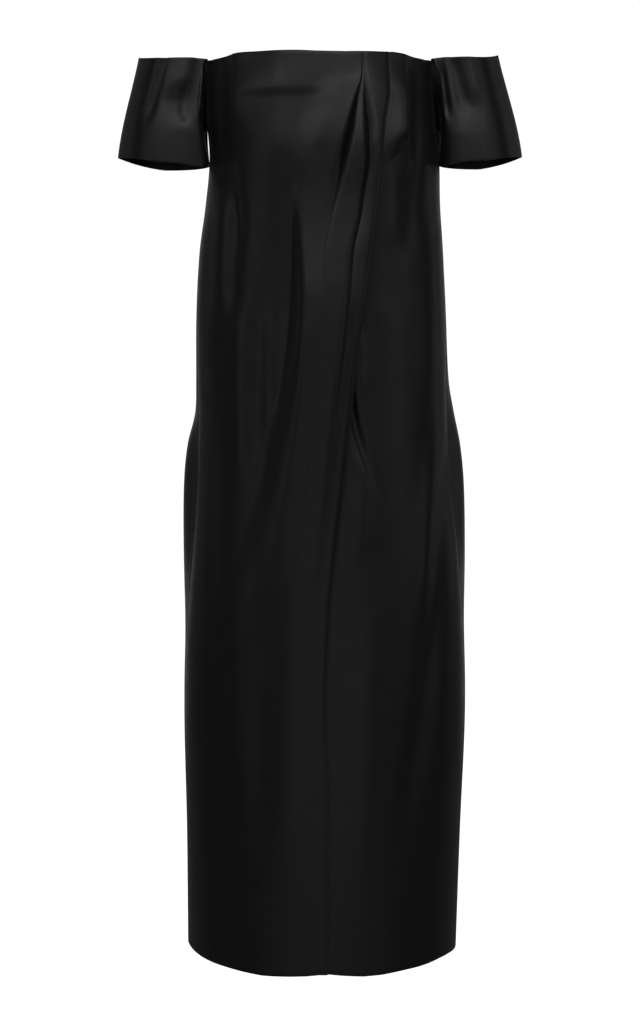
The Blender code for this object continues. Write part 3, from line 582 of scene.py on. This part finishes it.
def duchesse_satin():
    """Duchesse satin: filament warp floated over the weft. The eye gets a near-black ground with a
    soft, wide gleam that runs along folds, and faint slubs where the threads vary."""
    material = bpy.data.materials.new("duchesse_satin")
    material.use_nodes = True
    tree = material.node_tree
    shader = tree.nodes["Principled BSDF"]
    shader.inputs["Base Color"].default_value = srgb("#141415")
    shader.inputs["Roughness"].default_value = 0.39
    shader.inputs["IOR"].default_value = 1.5
    shader.inputs["Sheen Weight"].default_value = 0.06
    shader.inputs["Sheen Roughness"].default_value = 0.4
    cut = add(tree, "ShaderNodeUVMap", {"uv_map": "cut"})
    # A warp thread is 0.1 mm: the floats are drawn 0.9 mm wide and 6 mm long so that they show
    stretch = add(tree, "ShaderNodeMapping", {"Scale": (1 / 0.0009, 1 / 0.006, 1)}, Vector=cut.outputs["UV"])
    floats = add(tree, "ShaderNodeTexNoise", {"Scale": 1.0, "Detail": 2.0}, Vector=stretch.outputs["Vector"])
    cloud = add(tree, "ShaderNodeTexNoise", {"Scale": 38.0, "Detail": 3.0}, Vector=cut.outputs["UV"])
    gloss = add(
        tree,
        "ShaderNodeMapRange",
        {"From Min": 0.3, "From Max": 0.7, "To Min": 0.34, "To Max": 0.43},
        Value=cloud.outputs["Fac"],
    )
    tree.links.new(gloss.outputs["Result"], shader.inputs["Roughness"])
    bump = add(tree, "ShaderNodeBump", {"Strength": 0.25, "Distance": 0.00006}, Height=floats.outputs["Fac"])
    tree.links.new(bump.outputs["Normal"], shader.inputs["Normal"])
    return material


def cloth(name, points, cut, material, ring=False, flip=False):
    """A satin shell from a grid of points in millimetres, with its place on the cut as UVs."""
    rows, columns = points.shape[:2]
    index = np.arange(rows * columns).reshape(rows, columns)
    if ring:
        index = np.concatenate([index, index[:, :1]], axis=1)
    corners = [index[:-1, :-1], index[:-1, 1:], index[1:, 1:], index[1:, :-1]]
    if flip:
        corners.reverse()
    faces = np.stack(corners, axis=-1).reshape(-1, 4)
    mesh = bpy.data.meshes.new(name)
    mesh.from_pydata((points.reshape(-1, 3) * MM).tolist(), [], faces.tolist())
    layer = mesh.uv_layers.new(name="cut")
    layer.data.foreach_set("uv", cut.reshape(-1, 2)[faces.reshape(-1)].astype(np.float32).ravel())
    mesh.materials.append(material)
    mesh.shade_smooth()
    piece = bpy.data.objects.new(name, mesh)
    bpy.context.scene.collection.objects.link(piece)
    wall = piece.modifiers.new("wall", "SOLIDIFY")
    wall.thickness = SATIN * MM
    wall.offset = -1
    wall.use_quality_normals = True
    edge = piece.modifiers.new("edge", "BEVEL")
    edge.width = 0.35 * MM
    edge.segments = 2
    edge.limit_method = "ANGLE"
    edge.angle_limit = math.radians(55)
    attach(piece, "root")
    return piece


def lengths(points):
    """The place of each grid point on the flat cut: across its row, and down from the top, in metres."""
    step = np.linalg.norm(np.diff(points, axis=1), axis=-1)
    across = np.concatenate([np.zeros((len(points), 1)), np.cumsum(step, axis=1)], axis=1)
    across -= across[:, -1:] / 2
    drop = np.linalg.norm(np.diff(points, axis=0), axis=-1)
    down = np.concatenate([np.zeros((1, points.shape[1])), np.cumsum(drop, axis=0)], axis=0)
    return np.stack([across, -down], axis=-1) * MM


def seam_dip(angles, height, edges):
    """How far the cloth turns in beside the seams at the given angles."""
    dip = np.zeros(angles.shape)
    radius = between(LEVELS, height, "front")
    for edge in edges:
        distance = np.radians(np.abs(angles - edge(height))) * radius
        dip += SEAM_DIP * np.exp(-((distance / SEAM_WIDTH) ** 2))
    return dip


def panel(name, angles, lift, seams, flip, material):
    height = panel_heights()
    turn = angles(height)
    height = height[:, None]
    relief = lift(turn, height) - seam_dip(turn, height, seams)
    points = body_point(turn, height, relief)[0]
    points[..., 2] += edge_shift(points[..., 0], height)
    piece = cloth(name + "_satin", points, lengths(points), material, flip=flip)
    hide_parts(name)
    return piece


def arm_loop(turn, outer, inner, front, back, inner_square):
    """Points round the arm: a lens that is creased at its outer end and full at its inner one."""
    c, s = np.cos(np.radians(turn)), np.sin(np.radians(turn))
    centre, reach = (outer + inner) / 2, (outer - inner) / 2
    full = np.where(c > 0, c, -(np.abs(c) ** INNER_FULL))
    power = 1 + OUTER_CREASE * np.maximum(0.0, c) ** 2
    power = power + np.where(s < 0, (1 - inner_square) * np.minimum(0.0, c), 0)
    return centre + reach * full, np.copysign(np.where(s < 0, front, back) * np.abs(s) ** power, s)


def body_half_width(across_y, height, side):
    """How far out the body's surface is at a depth, on one side."""
    half, _, front, back, square = section(height, np.asarray(side > 0))
    depth = np.where(across_y < 0, front, back)
    return half * (1 - np.minimum(1.0, np.abs(across_y) / depth) ** square) ** (1 / square)


def seam_place(sleeve, share):
    """Points of the armhole seam, from -1 at its front end by 0 at the underarm to 1 at its back."""
    turn = share * math.pi / 2
    reach = np.where(share < 0, ARMHOLE_FRONT, ARMHOLE_BACK)
    height = -(ARMHOLE_DEPTH + 2.0) * np.cos(turn)
    edge = np.degrees(2.0 / between(LEVELS, height, "front"))
    angle = UNDERARM + np.sin(turn) * (reach + edge)
    return body_point(sleeve.side * angle, height, SEAM_STAND + 0 * height)


def top_place(sleeve, turn):
    """Points of the sleeve's top edge, drawn in to the two ends of the armhole seam."""
    sizes = (sleeve.outer_top, sleeve.inner_top, sleeve.front_top, sleeve.back_top)
    out, depth = arm_loop(turn, *sizes, sleeve.inner_square)
    outward = np.maximum(0.0, np.cos(np.radians(turn)))
    rise = sleeve.top + sleeve.top_rise * outward**SLEEVE_TOP_CURVE
    point = np.stack([sleeve.side * out, depth, rise], axis=-1)
    for end, seam in ((TOP_FRONT_END, -1.0), (TOP_BACK_END, 1.0)):
        near = smooth(1 - np.abs(turn - end) / TOP_DRAW)[:, None]
        out, depth = arm_loop(np.array(float(end)), *sizes, sleeve.inner_square)
        corner = np.array([sleeve.side * out, depth, sleeve.top])
        point = point + (seam_place(sleeve, np.array(seam))[0] - corner) * near
    return point


def hem_place(sleeve, turn):
    """Points of the sleeve's hem, kept just clear of the body."""
    sizes = (sleeve.outer_hem, sleeve.inner_hem, sleeve.front_hem, sleeve.back_hem)
    out, depth = arm_loop(turn, *sizes, sleeve.inner_square)
    cosine = np.cos(np.radians(turn))
    inward = (1 - cosine) / 2
    depth = depth - HEM_FORWARD * inward**2
    around = (turn + 180) % 360 - 180
    height = sleeve.hem + sleeve.hem_rise * np.maximum(0.0, cosine) ** SLEEVE_HEM_CURVE
    height -= sleeve.droop * np.exp(-(((around - sleeve.droop_turn) / DROOP_WIDTH) ** 2))
    clear = body_half_width(depth, height, sleeve.side) + SLEEVE_CLEAR
    out = np.maximum(out - HEM_IN * inward**3, clear)
    return np.stack([sleeve.side * out, depth, height], axis=-1)


def sleeve_curves(sleeve):
    """For each column round the sleeve, its turn and the control points of its curve from the top
    edge to the hem. The columns go from the front end of the armhole seam over the arm's outer
    side to its back end, then under the arm."""
    along = np.arange(SLEEVE_TOP_COLUMNS + 1) / SLEEVE_TOP_COLUMNS
    start = top_place(sleeve, mix(TOP_FRONT_END, TOP_BACK_END, along))
    turn = mix(HEM_FRONT_END, HEM_BACK_END, along)
    sewn = smooth(1 - np.minimum(along, 1 - along) / SEWN_SHARE)
    out = seam_place(sleeve, np.where(along < 0.5, -1.0, 1.0))[1]
    under = np.arange(1, SLEEVE_SEAM_COLUMNS) / SLEEVE_SEAM_COLUMNS
    seam, seam_out = seam_place(sleeve, mix(1, -1, under))
    start = np.concatenate([start, seam])
    out = np.concatenate([out, seam_out])
    turn = np.concatenate([turn, mix(HEM_BACK_END, 360 + HEM_FRONT_END, under)])
    sewn = np.concatenate([sewn, np.ones(len(under))])[:, None]
    end = hem_place(sleeve, turn)
    length = np.linalg.norm(end - start, axis=-1, keepdims=True)
    upward = np.array([0.0, 0.0, 1.0])
    lead = np.minimum(SEAM_LEAD, length * LEAD_SHARE) * sewn
    first = start + (end - start) * (START_SHARE * (1 - sewn)) + out * lead
    first -= upward * length * SEWN_DROP * sewn
    last = end + (start - end) * HEM_SHARE + upward * length * HEM_SHARE + out * HEM_LEAD * sewn
    return turn, (start, first, last, end)


def sleeve_relief(folds, turn, t):
    turn = (turn + 180) % 360 - 180
    total = np.zeros(np.broadcast(turn, t).shape)
    for fold in folds:
        along = (t - fold.start) / (fold.end - fold.start)
        centre = mix(fold.around_top, fold.around_end, along)
        ends = smooth(along / FOLD_FADE) * smooth((1 - along) / FOLD_FADE)
        total += fold.rise * ends * np.exp(-(((turn - centre) / fold.width) ** 2))
    return total


def sleeve_shell(sleeve, folds, material):
    turn, (start, first, last, end) = sleeve_curves(sleeve)
    t = (np.arange(SLEEVE_ROWS + 1) / SLEEVE_ROWS)[:, None, None]
    s = 1 - t
    plain = start * s**3 + first * (3 * s * s * t) + last * (3 * s * t * t) + end * t**3
    up = np.gradient(plain, axis=0) * -1
    across = np.roll(plain, -1, axis=1) - np.roll(plain, 1, axis=1)
    out = np.cross(up, across)
    out *= -sleeve.side / np.linalg.norm(out, axis=-1, keepdims=True)
    points = plain + out * sleeve_relief(folds, turn[None, :], t[..., 0])[..., None]
    piece = cloth(
        sleeve.name + "_satin",
        points,
        lengths(points),
        material,
        ring=True,
        flip=sleeve.side > 0,
    )
    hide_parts(sleeve.name)
    return piece


satin = duchesse_satin()
side_seam_right = lambda height: -seam_angle(height)

over = panel("front_over_panel", over_angles, over_lift, [side_seam_right], False, satin)
under = panel("front_under_panel", under_angles, under_lift, [seam_angle], False, satin)
back_right = panel(
    "back_right_panel",
    back_angles(-1),
    back_lift,
    [side_seam_right, lambda height: -180 + 0 * height],
    True,
    satin,
)
back_left = panel(
    "back_left_panel",
    back_angles(1),
    back_lift,
    [seam_angle, lambda height: 180 + 0 * height],
    False,
    satin,
)
sleeve_right = sleeve_shell(SLEEVES[0], RIGHT_SLEEVE_FOLDS, satin)
sleeve_left = sleeve_shell(SLEEVES[1], LEFT_SLEEVE_FOLDS, satin)


# Studio
CAMERA_DISTANCE = 2.684
CAMERA_HEIGHT = -0.4173
CAMERA_SIDE = -0.003
CAMERA_TILT = 3.2
LENS = 73.88
FLOOR = HEM * MM - 0.13


def studio():
    camera = bpy.data.objects.new("camera", bpy.data.cameras.new("camera"))
    bpy.context.scene.collection.objects.link(camera)
    camera.location = (CAMERA_SIDE, -CAMERA_DISTANCE, CAMERA_HEIGHT)
    camera.rotation_euler = (math.radians(90 - CAMERA_TILT), 0, 0)
    camera.data.lens = LENS
    camera.data.sensor_width = 36
    bpy.context.scene.camera = camera

    paper = bpy.data.materials.new("matt_paper")
    paper.use_nodes = True
    shader = paper.node_tree.nodes["Principled BSDF"]
    shader.inputs["Base Color"].default_value = srgb("#f4f4f4")
    shader.inputs["Roughness"].default_value = 0.9
    shader.inputs["Emission Color"].default_value = srgb("#ffffff")
    shader.inputs["Emission Strength"].default_value = 1.0
    reach = 6.0
    mesh = bpy.data.meshes.new("floor")
    turns = np.linspace(0, 2 * math.pi, 64, endpoint=False)
    rim = np.stack([reach * np.cos(turns), reach * np.sin(turns), 0 * turns + FLOOR], axis=-1)
    mesh.from_pydata(rim.tolist(), [], [list(range(64))])
    mesh.materials.append(paper)
    floor = bpy.data.objects.new("floor", mesh)
    bpy.context.scene.collection.objects.link(floor)
    # The paper is lit for the camera alone, so that it throws no light up the skirt
    floor.visible_diffuse = False
    floor.visible_glossy = False

    world = bpy.data.worlds.new("studio")
    world.use_nodes = True
    bpy.context.scene.world = world
    tree = world.node_tree
    tree.nodes.clear()
    backdrop = add(tree, "ShaderNodeBackground", {"Color": srgb("#ffffff"), "Strength": 1.05})
    fill = add(tree, "ShaderNodeBackground", {"Color": srgb("#ffffff"), "Strength": 0.06})
    path = add(tree, "ShaderNodeLightPath")
    pick = add(tree, "ShaderNodeMixShader")
    tree.links.new(path.outputs["Is Camera Ray"], pick.inputs[0])
    tree.links.new(fill.outputs[0], pick.inputs[1])
    tree.links.new(backdrop.outputs[0], pick.inputs[2])
    output = add(tree, "ShaderNodeOutputWorld")
    tree.links.new(pick.outputs[0], output.inputs["Surface"])

    Softbox = namedtuple("Softbox", "name place aim size power")
    for box in (
        Softbox("key", (0, -2.5, 1.45), (0, 0, -0.2), (3.8, 1.1), 22),
        Softbox("low", (0, -2.9, -0.7), (0, 0, -0.7), (2.0, 1.4), 1.4),
        Softbox("front_right", (-2.2, -1.7, 0.3), (0, 0, -0.4), (0.9, 2.0), 2.0),
        Softbox("front_left", (2.2, -1.7, 0.3), (0, 0, -0.4), (0.9, 2.0), 2.3),
        Softbox("side_right", (-2.3, 0.9, 0.2), (0, 0, -0.4), (0.9, 2.0), 0.5),
        Softbox("side_left", (2.3, 0.9, 0.2), (0, 0, -0.4), (0.9, 2.0), 1.1),
        Softbox("bounce", (0, -1.6, -1.2), (0, 0, -0.3), (2.6, 1.6), 1.2),
        Softbox("back", (0, 2.6, 1.2), (0, 0, -0.3), (1.6, 1.2), 6),
        Softbox("back_right", (-1.3, 2.4, -0.3), (0, 0, -0.5), (0.9, 2.0), 1.4),
        Softbox("back_left", (1.3, 2.4, -0.3), (0, 0, -0.5), (0.9, 2.0), 1.4),
    ):
        light = bpy.data.lights.new(box.name, "AREA")
        light.shape = "RECTANGLE"
        light.size, light.size_y = box.size
        light.energy = box.power
        lamp = bpy.data.objects.new(box.name, light)
        bpy.context.scene.collection.objects.link(lamp)
        lamp.location = box.place
        way = np.array(box.aim) - np.array(box.place)
        yaw = math.atan2(way[0], way[1])
        pitch = math.atan2(way[2], math.hypot(way[0], way[1]))
        lamp.rotation_euler = (math.pi / 2 + pitch, 0, -yaw)

    bpy.context.scene.view_settings.view_transform = "Standard"


studio()
